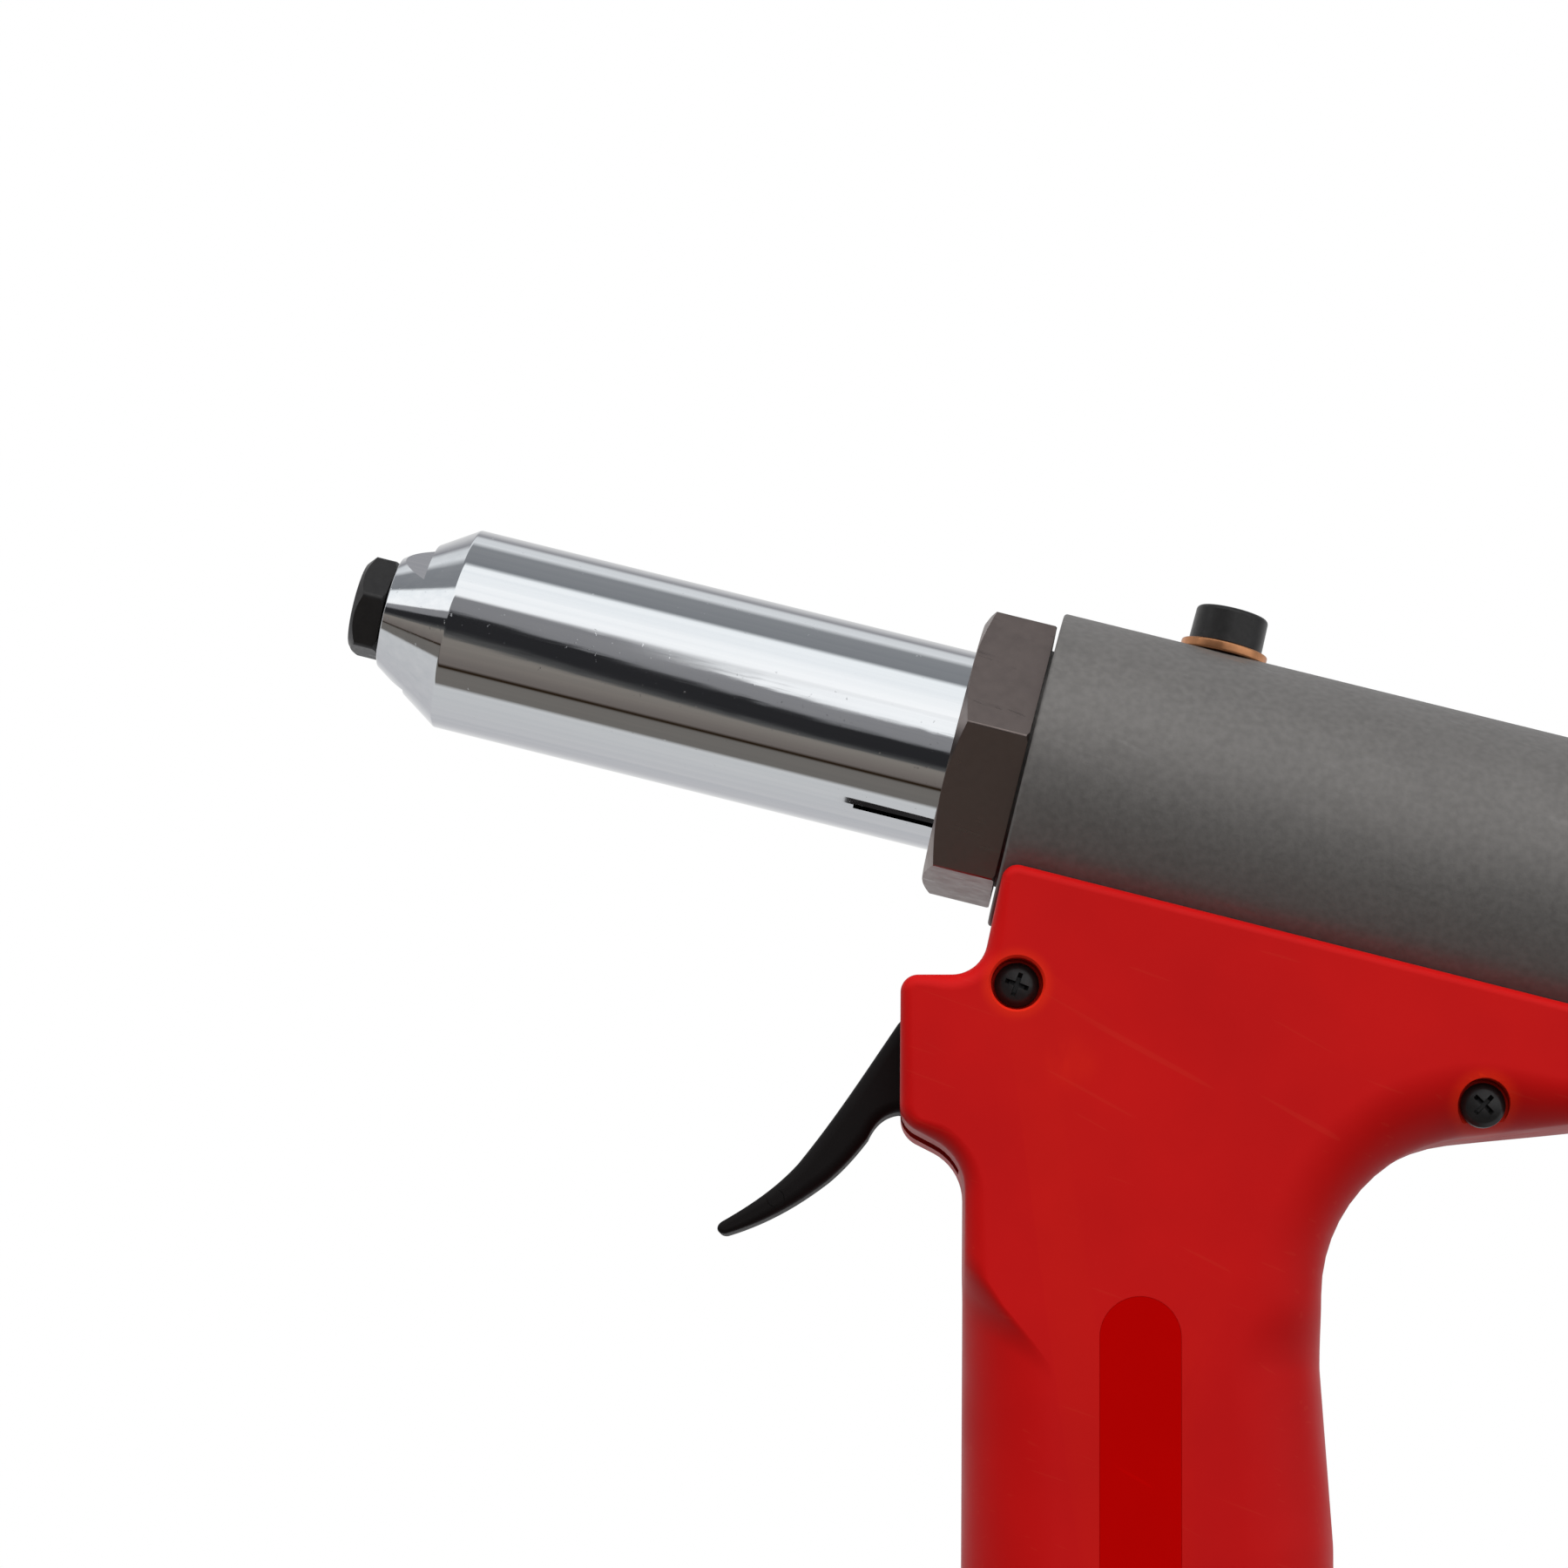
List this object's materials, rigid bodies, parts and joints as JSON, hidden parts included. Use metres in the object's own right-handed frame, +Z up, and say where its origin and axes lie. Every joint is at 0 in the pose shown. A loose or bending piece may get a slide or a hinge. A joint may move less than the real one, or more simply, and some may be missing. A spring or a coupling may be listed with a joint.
{
  "type": "pneumatic rivet gun",
  "caption": "Pistol-shaped hydro-pneumatic blind rivet gun: tilted pulling head with hex nosepiece, red covered handle, hooked trigger, round air cylinder base and rear mandrel collector.",
  "frame": {"origin": "centre of the base's flat underside, on the axis of the handle", "axes": "+Z up along the handle, -X towards the nose, +Y to the left of a user looking along the nose; the tool is symmetric about Y = 0 apart from its screws"},
  "size_m": [0.266, 0.087, 0.2797],
  "materials": {
    "black_steel": "black-oxide finish, satin",
    "chrome": "bright chrome plating with fine handling marks",
    "nut_steel": "machined steel, warm grey satin",
    "grey_aluminium": "hard-anodised fine matte grey",
    "copper": "soft annealed copper, satin",
    "brass": "turned brass",
    "seal_rubber": "black nitrile rubber",
    "base_aluminium": "dark anodised, satin",
    "black_plastic": "moulded black nylon, satin",
    "bright_steel": "ground steel",
    "red_plastic": "moulded red plastic, satin",
    "deep_red_plastic": "deeper red inlay, matte",
    "porous_bronze": "sintered bronze",
    "boot_rubber": "matte black rubber"
  },
  "bodies": {
    "housing": {"nosepiece": "black_steel", "nose_housing": "chrome", "front_lock_nut": "nut_steel", "hydraulic_body": "grey_aluminium", "oil_fill_screw": "black_steel", "copper_washer": "copper", "front_gland": "brass", "rod_seal": "seal_rubber", "rear_cap": "base_aluminium", "collector_seal": "seal_rubber", "return_spring": "bright_steel", "grip_cover_right": "red_plastic", "grip_cover_left": "red_plastic", "grip_inlay_right": "deep_red_plastic", "grip_inlay_left": "deep_red_plastic", "grip_screw_1": "black_steel", "grip_screw_2": "black_steel", "grip_screw_3": "black_steel", "grip_screw_4": "black_steel", "trigger_pin": "bright_steel", "pilot_valve_body": "brass", "pilot_air_tube": "brass", "oil_tube": "bright_steel", "plunger_gland": "brass", "plunger_seal": "seal_rubber", "oil_tube_nut": "bright_steel", "air_cylinder": "base_aluminium", "bottom_cap": "base_aluminium", "bottom_cap_seal": "seal_rubber", "silencer_disc": "porous_bronze", "rubber_base": "boot_rubber", "valve_block": "grey_aluminium", "valve_spring": "bright_steel", "valve_plug": "brass", "air_inlet": "bright_steel"},
    "pulling_rod": {"hydraulic_piston": "bright_steel", "piston_seal": "seal_rubber", "mandrel_tube": "bright_steel", "pulling_coupler": "bright_steel", "coupler_lock_nut": "black_steel", "jaw_case": "bright_steel", "jaw_spring": "bright_steel"},
    "jaw_1": {"jaw_1": "black_steel"},
    "jaw_2": {"jaw_2": "black_steel"},
    "jaw_3": {"jaw_3": "black_steel"},
    "jaw_pusher": {"jaw_pusher": "bright_steel"},
    "air_piston": {"air_piston": "grey_aluminium", "air_piston_seal": "seal_rubber", "plunger_rod": "bright_steel", "air_piston_nut": "black_steel"},
    "trigger": {"trigger": "black_plastic"},
    "pilot_valve_stem": {"pilot_valve_stem": "bright_steel"},
    "valve_spool": {"valve_spool": "bright_steel"},
    "mandrel_collector": {"mandrel_collector": "black_plastic"}
  },
  "joints": [
    {"name": "pull_stroke", "type": "slide", "parent": "housing", "child": "pulling_rod", "axis": [0.9713, 0, -0.2377], "range_m": [0, 0.016], "stiffness_N_per_m": 3000, "springref_m": -0.02, "deforming": ["return_spring"]},
    {"name": "air_piston_stroke", "type": "slide", "parent": "housing", "child": "air_piston", "axis": [0, 0, 1], "range_m": [0, 0.048]},
    {"name": "jaw_1_grip", "type": "slide", "parent": "pulling_rod", "child": "jaw_1", "axis": [-0.9995, 0, 0.0305], "range_m": [0, 0.00225]},
    {"name": "jaw_2_grip", "type": "slide", "parent": "pulling_rod", "child": "jaw_2", "axis": [-0.9254, 0.1801, 0.3335], "range_m": [0, 0.00225]},
    {"name": "jaw_3_grip", "type": "slide", "parent": "pulling_rod", "child": "jaw_3", "axis": [-0.9254, -0.1801, 0.3335], "range_m": [0, 0.00225]},
    {"name": "jaw_pusher_follow", "type": "slide", "parent": "pulling_rod", "child": "jaw_pusher", "axis": [-0.9713, 0, 0.2377], "range_m": [0, 0.0022], "deforming": ["jaw_spring"]},
    {"name": "trigger_pull", "type": "hinge", "parent": "housing", "child": "trigger", "pos_m": [-0.027, 0, 0.2144], "axis": [0, -1, 0], "range_deg": [0, 18], "stiffness_Nm_per_rad": 0.2, "springref_deg": -28.65},
    {"name": "pilot_stem_push", "type": "slide", "parent": "housing", "child": "pilot_valve_stem", "axis": [1, 0, 0], "range_m": [0, 0.00308]},
    {"name": "valve_spool_shift", "type": "slide", "parent": "housing", "child": "valve_spool", "axis": [0, 0, 1], "range_m": [0, 0.0035], "deforming": ["valve_spring"]},
    {"name": "collector_pull_off", "type": "slide", "parent": "housing", "child": "mandrel_collector", "axis": [0.9713, 0, -0.2377], "range_m": [0, 0.016]}
  ],
  "couplings": [
    {"joint": "air_piston_stroke", "follows": "pull_stroke", "ratio": 3},
    {"joint": "jaw_1_grip", "follows": "pull_stroke", "ratio": 0.14},
    {"joint": "jaw_2_grip", "follows": "pull_stroke", "ratio": 0.14},
    {"joint": "jaw_3_grip", "follows": "pull_stroke", "ratio": 0.14},
    {"joint": "jaw_pusher_follow", "follows": "pull_stroke", "ratio": 0.1369},
    {"joint": "pilot_stem_push", "follows": "trigger_pull", "m_per_rad": 0.0098},
    {"joint": "valve_spool_shift", "follows": "trigger_pull", "m_per_rad": 0.0111}
  ]
}
